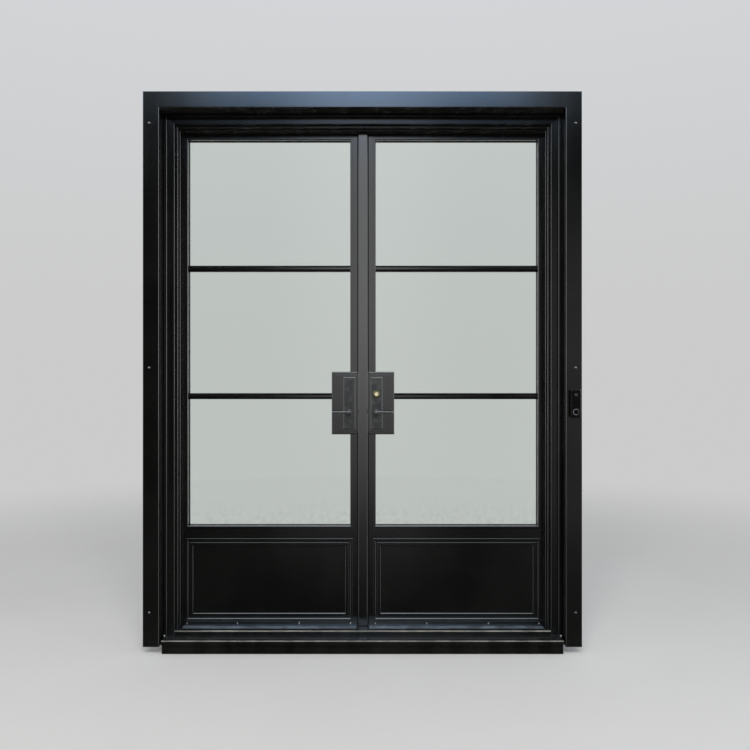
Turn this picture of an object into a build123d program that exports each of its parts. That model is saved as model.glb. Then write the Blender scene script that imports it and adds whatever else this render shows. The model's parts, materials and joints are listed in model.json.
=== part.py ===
import os

from build123d import *

os.makedirs("parts", exist_ok=True)

# A pair of in-swing steel french doors in their welded frame, in millimetres.
# X runs to the right seen from outside, Y into the house, Z up.
# The origin is under the middle of the sill, in the mid-plane of the shut leaves.

# Leaves
leaf_width = 912.0
leaf_height = 2438.0
leaf_thickness = 50.0
meeting_gap = 4.0
hinge_gap = 3.0
head_gap = 4.0
floor_gap = 7.0
stile_width = 46.0
top_rail_height = 46.0
mid_rail_height = 46.0
bottom_rail_height = 28.0
mid_rail_rise = 434.0  # from the leaf's bottom edge to the underside of the mid rail
tube_wall = 2.5
tube_round = 2.5

# Frame: casing, stepped jambs and sill
casing_face = 76.0
casing_wall = 3.0
casing_round = 3.0
casing_return = 25.0
casing_foot = 37.0  # height of the casing legs' feet
recess_depth = 85.0
side_cover = 29.6  # how far the casing's inner edge lies outside the leaf's rabbet
head_cover = 33.0
lip_gap = 2.0
lip_width = 13.0
lip_height = 6.0
jamb_face = 50.0
jamb_step = 11.0
jamb_step_depth = 20.0
stop_width = 5.8
stop_setback = 25.0
stop_depth = 45.0  # from the front of the stop to the leaf's outer face
frame_wall = 3.0
frame_round = 2.5
seal_gap = 3.0
seal_width = 10.0
running_gap = 0.3  # between a seal and what slides on it

sill_height = 65.0
sill_end_inset = 9.6  # from the casing's inner edge to the sill's end
sill_wall = 3.0
sill_overhang = 12.0
sill_nose = 21.0
sill_nose_round = 5.0
sill_step = 15.8
sill_step_round = 3.0
sill_step_gap = 0.5

# Glazing
bead_width = 14.3
bead_proud = 2.0
bead_groove = 1.5
bead_groove_depth = 3.0
bead_round = 4.0
bead_wall = 1.5
pane_thickness = 5.0
pane_space = 8.0
pane_gap = 3.0  # from the panes' edges to the tubes
spacer_width = 7.0
bar_height = 29.0
bar_nose = 9.0
bar_shoulder = 2.0
bar_proud = 12.0
bar_shares = (0.3379, 0.6648)  # places up the glass opening

# Panels
sheet_thickness = 2.0
sheet_recess = 9.0
moulding_width = 39.5
outer_ridge = 13.2
outer_ridge_proud = 3.0
inner_ridge = 17.0
inner_ridge_proud = 0.5
moulding_channel = 4.6
channel_sink = 4.0
ridge_round = 1.2
inner_ridge_round = 3.0

# Lock, handles and bolts
lock_box_near = 23.0  # from the leaf's lock edge to the box's near edge
lock_box_width = 127.7
lock_box_height = 306.0
lock_box_proud = 3.0
lock_box_rim = 14.3  # its moulded edge, in line with the glazing beads
lock_box_groove = 1.5
lock_box_groove_depth = 2.0
lock_box_round = 0.8
lock_box_bite = 9.0  # how far its rim covers the panes
lock_centre_height = 1165.0
glass_notch_gap = 1.0
backset = 64.0
lever_drop = 43.0  # from the lock's centre down to the lever
cylinder_rise = 44.0
plate_width = 58.5
plate_height = 254.0
plate_thickness = 8.0
plate_round = 2.5
plate_bevel = 4.0
plate_bevel_depth = 2.0
case_depth = 88.0
case_end_room = 30.0  # from the lock box's end to the case's end
case_thickness = 18.0
case_wall = 2.0
face_width = 22.0
face_height = 260.0
face_thickness = 2.5
fit_gap = 0.2  # around pieces that are let into others
slide_gap = 0.3  # around pieces that slide in others
turn_gap = 0.05  # radial running clearance

neck_radius = 8.0
spindle_size = 8.0
lever_reach = 46.0
lever_length = 82.0
lever_thickness = 12.0
lever_width = 14.0
lever_round = 3.0
neck_gap = 1.0
spindle_hole_share = 0.75  # the follower's clear radius, as a share of the spindle's size

cylinder_radius = 14.0
collar_radius = 17.0
collar_thickness = 5.0
keyway_width = 1.6
keyway_height = 9.0
keyway_depth = 8.0
turn_radius = 14.0
turn_thickness = 4.0
turn_stem_radius = 5.0
turn_blade = 6.0
turn_blade_length = 26.0
turn_blade_reach = 16.0
turn_blade_round = 2.0

latch_throw = 12.0
latch_thickness = 12.0
latch_width = 18.0
latch_length = 40.0
latch_bevel = 9.0
deadbolt_throw = 20.0
deadbolt_thickness = 12.0
deadbolt_width = 24.0
deadbolt_length = 43.0
strike_gap = 1.5
bolt_round = 1.0

shoot_radius = 5.0
shoot_from_edge = 33.0
shoot_throw = 18.0
shoot_engagement = 15.0
shoot_in_case = 26.0
keep_length = 34.0
keep_width = 24.0
keep_gap = 1.0

# Hinges
hinge_count = 4
hinge_height = 130.0
hinge_end = 190.0  # from the leaf's top and bottom edges to the nearest hinge's middle
hinge_offset = 10.0  # from the leaf's inner face to the pin's axis
barrel_radius = 8.0
pin_radius = 4.0
pin_head_radius = 6.5
pin_head = 3.0
knuckles = 5
knuckle_gap = 0.4
hinge_plate_width = 26.0
hinge_plate_thickness = 3.0
hinge_plate_gap = 4.5  # from the pin's axis to the plate's edge
knuckle_lap = 1.0  # of a knuckle's web over its plate

# Astragal and weather pieces
astragal_width = 45.0
astragal_thickness = 12.0
astragal_wall = 2.0
astragal_round = 3.0
astragal_spacer = 16.0
astragal_end_gap = 3.0
sweep_thickness = 16.0
sweep_end = 4.0
drip_inset = 29.0  # from the leaf's lock edge to the drip bar's end
drip_far_inset = 44.0
drip_sheet = 2.5
drip_flange_top = 21.5  # above the leaf's bottom edge
drip_root = 13.5
drip_fall = 2.0
drip_lip = 1.2
drip_reach = 65.0

# Casing screws, wall lugs and doorbell
screw_inset = 45.0  # from the casing's inner edge
screw_rise = 159.0  # from the casing's foot to the lower screw
screw_drop = 73.0  # from the casing's inner corner down to the upper screw
screw_over_bell = 101.0  # from the doorbell's top up to the middle screw
screw_head_radius = 5.5
screw_head = 2.5
screw_radius = 2.6
screw_length = 34.0
round_share = 0.6  # of a head's or a collar's thickness that is rounded off
lug_rise = 235.0  # from the sill's top to the lowest lug
lug_drop = 247.0  # from the casing's inner corner down to the highest lug
lug_length = 55.0
lug_width = 50.0
lug_thickness = 6.0
lug_hole_radius = 5.5
lug_hole_from_jamb = 30.4

bell_width = 47.0
bell_height = 129.0
bell_depth = 24.0
bell_round = 7.0
bell_edge = 2.0
bell_middle = 1169.5
bell_from_casing_edge = 40.4  # from the casing's inner edge to the bell's middle
button_radius = 11.0
button_up = 26.5  # from the bell's foot to the button's middle
button_proud = 1.0
button_travel = 1.5
button_thickness = 6.0
ring_radius = 16.5
ring_thickness = 1.2
ring_gap = 0.4

# Planes and edges worked out from the sizes
out_face = -leaf_thickness / 2
in_face = leaf_thickness / 2
seat_face = out_face - seal_gap
stop_face = out_face - stop_depth
step_face = stop_face - stop_setback
jamb_front = step_face - jamb_step_depth
casing_front = jamb_front - recess_depth

leaf_near = meeting_gap / 2
leaf_far = leaf_near + leaf_width
leaf_bottom = sill_height + floor_gap
leaf_top = leaf_bottom + leaf_height
rabbet_half = leaf_far + hinge_gap
rabbet_top = leaf_top + head_gap
casing_half = rabbet_half + side_cover
casing_top = rabbet_top + head_cover
stop_edge = jamb_face + jamb_step + stop_width  # inwards from the casing's inner edge
sill_half_length = casing_half - sill_end_inset
middle_screw = bell_middle + bell_height / 2 + screw_over_bell
screw_heights = [casing_foot + screw_rise, middle_screw, casing_top - screw_drop]
lowest_lug, highest_lug = sill_height + lug_rise, casing_top - lug_drop
lug_heights = [lowest_lug, (lowest_lug + highest_lug) / 2, highest_lug]

stile_inner = leaf_near + stile_width
far_stile_inner = leaf_far - stile_width
mid_rail_bottom = leaf_bottom + mid_rail_rise
mid_rail_top = mid_rail_bottom + mid_rail_height
panel_bottom = leaf_bottom + bottom_rail_height
glass_top = leaf_top - top_rail_height
bar_heights = [mid_rail_top + share * (glass_top - mid_rail_top) for share in bar_shares]

glass_face = pane_thickness + pane_space / 2
bead_front = -out_face + bead_proud
box_face = -out_face + lock_box_proud
plate_face = box_face + plate_thickness
lever_height = lock_centre_height - lever_drop
cylinder_height = lock_centre_height + cylinder_rise
box_near = leaf_near + lock_box_near
box_far = box_near + lock_box_width
box_bottom = lock_centre_height - lock_box_height / 2
box_top = lock_centre_height + lock_box_height / 2
channel_far = box_far - lock_box_bite
channel_bottom = box_bottom + lock_box_bite
channel_top = box_top - lock_box_bite
lever_axis = leaf_near + backset
case_far = leaf_near + face_thickness + case_depth
case_height = lock_box_height - 2 * case_end_room
case_bottom = lock_centre_height - case_height / 2
case_top = lock_centre_height + case_height / 2
shoot_axis = leaf_near + shoot_from_edge

pin_axis_x = (leaf_far + rabbet_half) / 2
pin_axis_y = in_face + hinge_offset
hinge_pitch = (leaf_height - 2 * hinge_end) / (hinge_count - 1)
hinge_middles = [leaf_bottom + hinge_end + n * hinge_pitch for n in range(hinge_count)]

LEFT, RIGHT = -1, 1
sides = {"left": LEFT, "right": RIGHT}


def write(name, *pieces):
    # one STEP for each piece, or for a group of separate solids
    whole = pieces[0].part
    if len(pieces) > 1:
        whole = Compound([solid for piece in pieces for solid in piece.part.solids()])
    whole.label = name
    export_step(whole, f"parts/{name}.step")


def block(x0, x1, y0, y1, z0, z1, mode=Mode.ADD):
    with Locations(((x0 + x1) / 2, (y0 + y1) / 2, (z0 + z1) / 2)):
        Box(abs(x1 - x0), abs(y1 - y0), abs(z1 - z0), mode=mode)


def rod_along_y(x, z, y0, y1, radius, mode=Mode.ADD):
    with Locations(Location((x, (y0 + y1) / 2, z), (90, 0, 0))):
        Cylinder(radius, abs(y1 - y0), mode=mode)


def rod_along_z(x, y, z0, z1, radius, mode=Mode.ADD):
    with Locations((x, y, (z0 + z1) / 2)):
        Cylinder(radius, abs(z1 - z0), mode=mode)


def round_corners(corners, radius):
    fillet([vertices().sort_by_distance(corner)[0] for corner in corners], radius)


def section(plane, points, rounded=(), wall=None):
    # a closed profile whose corners are rounded as (point, radius), and hollow if it has a wall
    with BuildSketch(plane) as profile:
        with BuildLine():
            Polyline(*points, close=True)
        make_face()
        for corner, radius in rounded:
            round_corners([corner], radius)
        if wall:
            offset(amount=-wall, kind=Kind.INTERSECTION, mode=Mode.SUBTRACT)
    return profile.sketch


def frame_corner(side):
    # the mitre through a top corner of the frame, facing the upright
    return Plane(origin=(side * casing_half, 0, casing_top), z_dir=(side, 0, -1))


# Frame members are drawn by their distance inwards from the casing's inner edge, and by Y

casing_outline = [
    (0, casing_front),
    (-casing_face, casing_front),
    (-casing_face, casing_front + casing_return),
    (casing_wall - casing_face, casing_front + casing_return),
    (casing_wall - casing_face, casing_front + casing_wall),
    (-casing_wall, casing_front + casing_wall),
    (-casing_wall, jamb_front),
    (0, jamb_front),
]
casing_corners = [(casing_outline[0], casing_round), (casing_outline[1], casing_round)]


def jamb_outline(cover):
    lip_edge = lip_gap + lip_width
    step_edge = jamb_face + jamb_step
    return [
        (-casing_wall, in_face),
        (-casing_wall, jamb_front),
        (lip_gap, jamb_front),
        (lip_gap, jamb_front - lip_height),
        (lip_edge, jamb_front - lip_height),
        (lip_edge, jamb_front),
        (jamb_face, jamb_front),
        (jamb_face, step_face),
        (step_edge, step_face),
        (step_edge, stop_face),
        (stop_edge, stop_face),
        (stop_edge, seat_face),
        (cover, seat_face),
        (cover, in_face),
    ]


def jamb_corners(outline):
    return [(outline[n], frame_round) for n in (3, 4, 6, 8, 10)]


def upright(outline, corners, side, foot, wall=None):
    # a member that stands beside the leaves, mitred at its head
    def place(point):
        return side * (casing_half - point[0]), point[1]

    with BuildPart() as member:
        profile = section(
            Plane.XY.offset(foot),
            [place(p) for p in outline],
            [(place(p), radius) for p, radius in corners],
            wall,
        )
        extrude(profile, amount=casing_top + casing_face - foot)
        split(bisect_by=frame_corner(side), keep=Keep.TOP)
    return member


def head(outline, corners, wall=None):
    # a member over the leaves, mitred at both ends
    def place(point):
        return point[1], casing_top - point[0]

    with BuildPart() as member:
        profile = section(
            Plane.YZ,
            [place(p) for p in outline],
            [(place(p), radius) for p, radius in corners],
            wall,
        )
        extrude(profile, amount=casing_half + casing_face, both=True)
        for side in (LEFT, RIGHT):
            split(bisect_by=frame_corner(side), keep=Keep.BOTTOM)
    return member


def cut_screw_holes(side):
    for z in screw_heights:
        rod_along_y(
            side * (casing_half + screw_inset),
            z,
            casing_front,
            casing_front + casing_wall,
            screw_radius + fit_gap,
            Mode.SUBTRACT,
        )


for name, side in sides.items():
    casing = upright(casing_outline, casing_corners, side, casing_foot)
    with casing:
        cut_screw_holes(side)
    write(f"casing_{name}", casing)

    outline = jamb_outline(side_cover)
    jamb = upright(outline, jamb_corners(outline), side, sill_height, frame_wall)
    write(f"jamb_{name}", jamb)

write("casing_head", head(casing_outline, casing_corners))

# The keeps are let in flush where the passive leaf's bolts enter the frame
keep_x = -shoot_axis
keep_sides = (keep_x - keep_length / 2, keep_x + keep_length / 2, -keep_width / 2, keep_width / 2)

outline = jamb_outline(head_cover)
jamb_head = head(outline, jamb_corners(outline), frame_wall)
with jamb_head:
    block(*keep_sides, rabbet_top, rabbet_top + frame_wall, mode=Mode.SUBTRACT)
write("jamb_head", jamb_head)

with BuildPart() as sill:
    nose_back = casing_front + sill_overhang
    nose_bottom = sill_height - sill_nose
    profile = section(
        Plane.YZ,
        [
            (nose_back, 0),
            (nose_back, nose_bottom),
            (casing_front, nose_bottom),
            (casing_front, sill_height),
            (in_face, sill_height),
            (in_face, 0),
        ],
        [((casing_front, sill_height), sill_nose_round)],
    )
    extrude(profile, amount=sill_half_length, both=True)
    # the raised stop, coped round the steps of the jambs
    edge_1 = casing_half - jamb_face - sill_step_gap
    edge_2 = edge_1 - jamb_step
    edge_3 = casing_half - stop_edge - sill_step_gap
    half_plan = [
        (edge_1, jamb_front),
        (edge_1, step_face - sill_step_gap),
        (edge_2, step_face - sill_step_gap),
        (edge_2, stop_face - sill_step_gap),
        (edge_3, stop_face - sill_step_gap),
        (edge_3, seat_face),
    ]
    plan = half_plan + [(-x, y) for x, y in reversed(half_plan)]
    extrude(section(Plane.XY.offset(sill_height), plan), amount=sill_step)
    front_edge = edges().filter_by(Axis.X).sort_by_distance((0, jamb_front, sill_height + sill_step))[0]
    fillet(front_edge, sill_step_round)
    # hollow under the tread and in the stop
    block(
        -sill_half_length,
        sill_half_length,
        nose_back + sill_wall,
        in_face - sill_wall,
        sill_wall,
        sill_height - sill_wall,
        Mode.SUBTRACT,
    )
    block(
        sill_wall - edge_3,
        edge_3 - sill_wall,
        jamb_front + sill_wall,
        seat_face - sill_wall,
        sill_height - sill_wall,
        sill_height + sill_step - sill_wall,
        Mode.SUBTRACT,
    )
    block(*keep_sides, sill_height - sill_wall, sill_height, mode=Mode.SUBTRACT)
write("sill", sill)

with BuildPart() as bolt_keeps:
    for z0, z1 in ((sill_height - sill_wall, sill_height), (rabbet_top, rabbet_top + frame_wall)):
        block(*keep_sides, z0, z1)
        rod_along_z(keep_x, 0, z0, z1, shoot_radius + keep_gap, Mode.SUBTRACT)
write("bolt_keeps", bolt_keeps)

# Weather seals on the faces that the leaves shut against
seal_in = casing_half - stop_edge
seal_out = seal_in + seal_width
seal_top = casing_top - stop_edge
seal_back = out_face - running_gap
sill_seal_top = sill_height + sill_step - sill_wall
with BuildPart() as frame_seals:
    for side in (LEFT, RIGHT):
        block(side * seal_in, side * seal_out, seat_face, seal_back, leaf_bottom, seal_top)
    block(-seal_out, seal_out, seat_face, seal_back, seal_top + running_gap, seal_top + seal_width)
    sill_seal_edge = seal_in - running_gap
    block(-sill_seal_edge, sill_seal_edge, seat_face, seal_back, leaf_bottom, sill_seal_top)
write("frame_seals", frame_seals)

with BuildPart() as casing_screws:
    for side in (LEFT, RIGHT):
        x = side * (casing_half + screw_inset)
        for z in screw_heights:
            rod_along_y(x, z, casing_front - screw_head, casing_front, screw_head_radius)
            rod_along_y(x, z, casing_front, casing_front + screw_length, screw_radius)
    heads = edges().filter_by(GeomType.CIRCLE).group_by(Axis.Y)[0]
    fillet(heads, screw_head * round_share)
write("casing_screws", casing_screws)

lug_near = casing_half + casing_wall
with BuildPart() as wall_lugs:
    for side in (LEFT, RIGHT):
        for z in lug_heights:
            block(
                side * lug_near,
                side * (lug_near + lug_length),
                in_face - lug_thickness,
                in_face,
                z - lug_width / 2,
                z + lug_width / 2,
            )
            lug_hole_x = side * (lug_near + lug_hole_from_jamb)
            rod_along_y(lug_hole_x, z, in_face - lug_thickness, in_face, lug_hole_radius, Mode.SUBTRACT)
write("wall_lugs", wall_lugs)


# Hinges: knuckles turn about the pin, alternately on the frame and on the leaf


def hinge_halves(side, towards, numbers):
    # towards is 1 for the halves on the jamb and -1 for those on the leaf
    knuckle = hinge_height / knuckles

    def reach(distance):
        return side * (pin_axis_x + towards * distance)

    for middle in hinge_middles:
        foot = middle - hinge_height / 2
        block(
            reach(hinge_plate_gap),
            reach(hinge_plate_gap + hinge_plate_width),
            in_face,
            in_face + hinge_plate_thickness,
            foot,
            foot + hinge_height,
        )
        for number in numbers:
            z0 = foot + number * knuckle + knuckle_gap / 2
            z1 = z0 + knuckle - knuckle_gap
            rod_along_z(reach(0), pin_axis_y, z0, z1, barrel_radius)
            block(reach(0), reach(hinge_plate_gap + knuckle_lap), in_face, pin_axis_y, z0, z1)
        rod_along_z(
            reach(0), pin_axis_y, foot, foot + hinge_height, pin_radius + turn_gap, Mode.SUBTRACT
        )


with BuildPart() as frame_hinge_plates:
    for side in (LEFT, RIGHT):
        hinge_halves(side, 1, range(0, knuckles, 2))
write("frame_hinge_plates", frame_hinge_plates)

for name, side in sides.items():
    with BuildPart() as hinge_plates:
        hinge_halves(side, -1, range(1, knuckles, 2))
    write(f"{name}_hinge_plates", hinge_plates)

with BuildPart() as hinge_pins:
    for side in (LEFT, RIGHT):
        for middle in hinge_middles:
            foot, top = middle - hinge_height / 2, middle + hinge_height / 2
            x = side * pin_axis_x
            rod_along_z(x, pin_axis_y, foot, top, pin_radius)
            rod_along_z(x, pin_axis_y, foot - pin_head, foot, pin_head_radius)
            rod_along_z(x, pin_axis_y, top, top + pin_head, pin_head_radius)
write("hinge_pins", hinge_pins)


# Leaves: welded tubes


def stile(side, near, far, rounded_at):
    # an upright tube of the leaf, rounded on the edge away from the glass
    with BuildPart() as tube:
        corners = [(side * rounded_at, out_face), (side * rounded_at, in_face)]
        profile = section(
            Plane.XY.offset(leaf_bottom),
            [
                (side * near, out_face),
                (side * far, out_face),
                (side * far, in_face),
                (side * near, in_face),
            ],
            [(corner, tube_round) for corner in corners],
            tube_wall,
        )
        extrude(profile, amount=leaf_height)
    return tube


def rail(side, bottom, top):
    with BuildPart() as tube:
        profile = section(
            Plane.YZ.offset(min(side * stile_inner, side * far_stile_inner)),
            [(out_face, bottom), (in_face, bottom), (in_face, top), (out_face, top)],
            wall=tube_wall,
        )
        extrude(profile, amount=far_stile_inner - stile_inner)
    return tube


def lock_stile(side):
    tube = stile(side, leaf_near, stile_inner, leaf_near)
    with tube:
        face_back = leaf_near + face_thickness
        half_face = face_width / 2 + fit_gap
        half_case = case_thickness / 2 + fit_gap
        face_low = lock_centre_height - face_height / 2 - fit_gap
        face_high = lock_centre_height + face_height / 2 + fit_gap
        block(
            side * leaf_near,
            side * face_back,
            -half_face,
            half_face,
            face_low,
            face_high,
            Mode.SUBTRACT,
        )
        block(
            side * leaf_near,
            side * stile_inner,
            -half_case,
            half_case,
            case_bottom - fit_gap,
            case_top + fit_gap,
            Mode.SUBTRACT,
        )
    return tube


# Glazing


def mitred_bar(side, outline, edge, corners, along_z, cuts):
    # A bar of the frame round an opening. outline is drawn by its distance inwards from the
    # opening's edge and by Y, edge is that edge's place, and cuts are the ends' mitre planes.
    x0, x1, z0, z1 = edge["box"]
    inwards = edge["inwards"]

    def place(point):
        if along_z:
            return side * (edge["at"] + inwards * point[0]), point[1]
        return point[1], edge["at"] + inwards * point[0]

    with BuildPart() as bar:
        plane = Plane.XY.offset(z0) if along_z else Plane.YZ.offset(min(side * x0, side * x1))
        profile = section(
            plane,
            [place(p) for p in outline],
            [(place(p), radius) for p, radius in corners],
        )
        extrude(profile, amount=z1 - z0 if along_z else x1 - x0)
        for cut in cuts:
            split(bisect_by=cut, keep=Keep.TOP)
    return bar


def mitre(side, x, z, x_side, z_side, upright_bar):
    # the plane at 45 degrees through an opening's corner, facing the upright or the level bar
    turn = 1 if upright_bar else -1
    return Plane(origin=(side * x, 0, z), z_dir=(-turn * side * x_side, 0, turn * z_side))


def framed(side, x0, x1, z0, z1, outline, corners, gap=None):
    # four mitred bars round an opening of the leaf; gap is a stretch of the near upright left out
    bars = []
    for x, x_side, inwards in ((x0, 1, 1), (x1, -1, -1)):
        spans = [(z0, z1)]
        if gap and x == x0:
            spans = [(z0, gap[0]), (gap[1], z1)]
        for low, high in spans:
            cuts = []
            if low == z0:
                cuts.append(mitre(side, x, z0, x_side, 1, True))
            if high == z1:
                cuts.append(mitre(side, x, z1, x_side, -1, True))
            edge = {"at": x, "inwards": inwards, "box": (x0, x1, low, high)}
            bars.append(mitred_bar(side, outline, edge, corners, True, cuts))
    for z, z_side, inwards in ((z0, 1, 1), (z1, -1, -1)):
        cuts = [mitre(side, x0, z, 1, z_side, False), mitre(side, x1, z, -1, z_side, False)]
        edge = {"at": z, "inwards": inwards, "box": (x0, x1, z0, z1)}
        bars.append(mitred_bar(side, outline, edge, corners, False, cuts))
    return bars


def both_faces(outline, corners):
    # the same profile on the leaf's outer face and on its inner face
    inner = [(u, -y) for u, y in outline]
    return (outline, corners), (inner, [((u, -y), radius) for (u, y), radius in corners])


bead_outline = [
    (0, -glass_face),
    (0, out_face + bead_groove_depth),
    (bead_groove, out_face + bead_groove_depth),
    (bead_groove, -bead_front),
    (bead_width, -bead_front),
    (bead_width, -glass_face),
]
bead_corners = [(bead_outline[3], bead_groove), (bead_outline[4], bead_round)]

moulding_edge = bead_groove + outer_ridge
valley_near = moulding_edge + ridge_round
valley_far = valley_near + moulding_channel
moulding_outline = [
    (0, out_face + sheet_recess),
    (0, out_face + bead_groove_depth),
    (bead_groove, out_face + bead_groove_depth),
    (bead_groove, out_face - outer_ridge_proud),
    (moulding_edge, out_face - outer_ridge_proud),
    (valley_near, out_face + channel_sink),
    (valley_far, out_face + channel_sink),
    (valley_far + ridge_round, out_face - inner_ridge_proud),
    (valley_far + ridge_round + inner_ridge, out_face - inner_ridge_proud),
    (moulding_width, out_face + sheet_recess),
]
moulding_corners = [
    (moulding_outline[3], ridge_round),
    (moulding_outline[4], bead_round),
    (moulding_outline[7], ridge_round),
    (moulding_outline[8], inner_ridge_round),
]


def glass_outline(side, inset):
    # the glass opening less an inset, notched to go into the channel round the lock box
    x0, x1 = stile_inner + inset, far_stile_inner - inset
    z0, z1 = mid_rail_top + inset, glass_top - inset
    notch = channel_far + glass_notch_gap + inset - pane_gap
    low = channel_bottom - glass_notch_gap - inset + pane_gap
    high = channel_top + glass_notch_gap + inset - pane_gap
    points = [(x0, z0), (x1, z0), (x1, z1), (x0, z1), (x0, high), (notch, high), (notch, low), (x0, low)]
    return [(side * x, z) for x, z in points]


def glass_panes(side):
    with BuildPart() as panes:
        for y in (glass_face, pane_space / -2):
            outline = section(Plane.XZ.offset(y - pane_thickness), glass_outline(side, pane_gap))
            extrude(outline, amount=pane_thickness)
    return panes


def glass_spacer(side):
    with BuildPart() as spacer:
        plane = Plane.XZ.offset(-pane_space / 2)
        extrude(section(plane, glass_outline(side, pane_gap)), amount=pane_space)
        inner = section(plane, glass_outline(side, pane_gap + spacer_width))
        extrude(inner, amount=pane_space, mode=Mode.SUBTRACT)
    return spacer


def glazing_bars(side):
    # level bars on both faces of the glass, the lower one stopped by the lock box
    half, nose = bar_height / 2, bar_nose / 2
    with BuildPart() as bars:
        for z in bar_heights:
            near = stile_inner + bead_width
            if box_bottom - half < z < box_top + half:
                near = box_far
            far = far_stile_inner - bead_width
            for face in (-1, 1):
                profile = section(
                    Plane.YZ.offset(min(side * near, side * far)),
                    [
                        (face * glass_face, z - half),
                        (face * (glass_face + bar_shoulder), z - half),
                        (face * (glass_face + bar_proud), z - nose),
                        (face * (glass_face + bar_proud), z + nose),
                        (face * (glass_face + bar_shoulder), z + half),
                        (face * glass_face, z + half),
                    ],
                )
                extrude(profile, amount=far - near)
    return bars


def panel_sheets(side):
    with BuildPart() as sheets:
        for face in (-1, 1):
            outer = face * (in_face - sheet_recess)
            block(
                side * stile_inner,
                side * far_stile_inner,
                outer,
                outer - face * sheet_thickness,
                panel_bottom,
                mid_rail_bottom,
            )
    return sheets


# Lock and handles


def lock_box(side):
    # a folded pocket over the stile, open towards it, with a moulded rim that holds the glass
    core_far = box_far - lock_box_rim
    core_bottom, core_top = box_bottom + lock_box_rim, box_top - lock_box_rim
    with BuildPart() as box:
        block(side * box_near, side * box_far, -bead_front, bead_front, box_bottom, box_top)
        fillet(edges().filter_by(Axis.X) + edges().filter_by(Axis.Z), bead_round)
        block(side * box_near, side * core_far, -box_face, box_face, core_bottom, core_top)
        fillet(edges().group_by(Axis.Y)[0] + edges().group_by(Axis.Y)[-1], lock_box_round)
        for face in (-1, 1):
            groove = (face * (box_face - lock_box_groove_depth), face * box_face)
            far_groove = side * (core_far + lock_box_groove)
            low_groove, high_groove = core_bottom - lock_box_groove, core_top + lock_box_groove
            block(side * core_far, far_groove, *groove, low_groove, high_groove, Mode.SUBTRACT)
            for z0, z1 in ((low_groove, core_bottom), (core_top, high_groove)):
                block(side * box_near, far_groove, *groove, z0, z1, Mode.SUBTRACT)
        inner_far = channel_far - lock_box_proud
        block(
            side * box_near,
            side * inner_far,
            out_face,
            in_face,
            channel_bottom + lock_box_proud,
            channel_top - lock_box_proud,
            Mode.SUBTRACT,
        )
        for x, z0, z1 in (
            (channel_far, box_bottom, box_top),
            (stile_inner, box_bottom, channel_bottom),
            (stile_inner, channel_top, box_top),
        ):
            block(side * x, side * box_far, -glass_face, glass_face, z0, z1, Mode.SUBTRACT)
        block(
            side * box_near,
            side * stile_inner,
            out_face,
            in_face,
            box_bottom,
            box_top,
            Mode.SUBTRACT,
        )
        x = side * lever_axis
        rod_along_y(x, lever_height, -box_face, box_face, neck_radius + neck_gap, Mode.SUBTRACT)
        if side == RIGHT:
            hole = cylinder_radius + fit_gap
            rod_along_y(x, cylinder_height, -box_face, box_face, hole, Mode.SUBTRACT)
    return box


def handle_plates(side):
    x = side * lever_axis
    with BuildPart() as plates:
        for face in (-1, 1):
            bevel_foot = face * (plate_face - plate_bevel_depth)
            outlines = []
            for y, inset in ((face * box_face, 0), (bevel_foot, 0), (face * plate_face, plate_bevel)):
                width, height = plate_width - 2 * inset, plate_height - 2 * inset
                with BuildSketch(Plane.XZ.offset(-y)) as outline:
                    with Locations((x, lock_centre_height)):
                        RectangleRounded(width, height, plate_round)
                outlines.append(outline.sketch)
            loft(outlines[:2], ruled=True)
            loft(outlines[1:], ruled=True)
        rod_along_y(x, lever_height, -plate_face, plate_face, neck_radius + turn_gap, Mode.SUBTRACT)
        if side == RIGHT:
            outer_hole = cylinder_radius + fit_gap
            inner_hole = turn_stem_radius + turn_gap
            rod_along_y(x, cylinder_height, -plate_face, -box_face, outer_hole, Mode.SUBTRACT)
            rod_along_y(x, cylinder_height, box_face, plate_face, inner_hole, Mode.SUBTRACT)
    return plates


def levers(side):
    # the outer and inner levers on their square spindle
    x = side * lever_axis
    bar_near = plate_face + lever_reach - lever_thickness
    with BuildPart() as pair:
        half = spindle_size / 2
        block(x - half, x + half, -box_face, box_face, lever_height - half, lever_height + half)
        for face in (-1, 1):
            rod_along_y(x, lever_height, face * box_face, face * (bar_near + half), neck_radius)
            near = lever_axis - neck_radius
            far = lever_axis + lever_length
            with BuildSketch(Plane.YZ.offset(min(side * near, side * far))) as bar:
                with Locations((face * (bar_near + lever_thickness / 2), lever_height)):
                    RectangleRounded(lever_thickness, lever_width, lever_round)
            extrude(bar.sketch, amount=far - near)
    return pair


def lock_case(side, latch_hole, deadbolt_hole):
    # a hollow case behind its face plate
    inner = case_wall
    half = case_thickness / 2
    face_back = leaf_near + face_thickness
    with BuildPart() as case:
        block(
            side * leaf_near,
            side * face_back,
            -face_width / 2,
            face_width / 2,
            lock_centre_height - face_height / 2,
            lock_centre_height + face_height / 2,
        )
        block(side * face_back, side * case_far, -half, half, case_bottom, case_top)
        block(
            side * face_back,
            side * (case_far - inner),
            inner - half,
            half - inner,
            case_bottom + inner,
            case_top - inner,
            Mode.SUBTRACT,
        )
        for z, (thickness, width) in (
            (lever_height, latch_hole),
            (cylinder_height, deadbolt_hole),
        ):
            block(
                side * leaf_near,
                side * face_back,
                -thickness / 2,
                thickness / 2,
                z - width / 2,
                z + width / 2,
                Mode.SUBTRACT,
            )
        x = side * lever_axis
        spindle_hole = spindle_size * spindle_hole_share
        rod_along_y(x, lever_height, -half, half, spindle_hole, Mode.SUBTRACT)
        if side == RIGHT:
            hole = turn_stem_radius + turn_gap
            rod_along_y(x, cylinder_height, half - inner, half, hole, Mode.SUBTRACT)
        else:
            hole = shoot_radius + slide_gap
            rod_along_z(-shoot_axis, 0, case_bottom, case_top, hole, Mode.SUBTRACT)
    return case


# Weather pieces on the leaves

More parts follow.
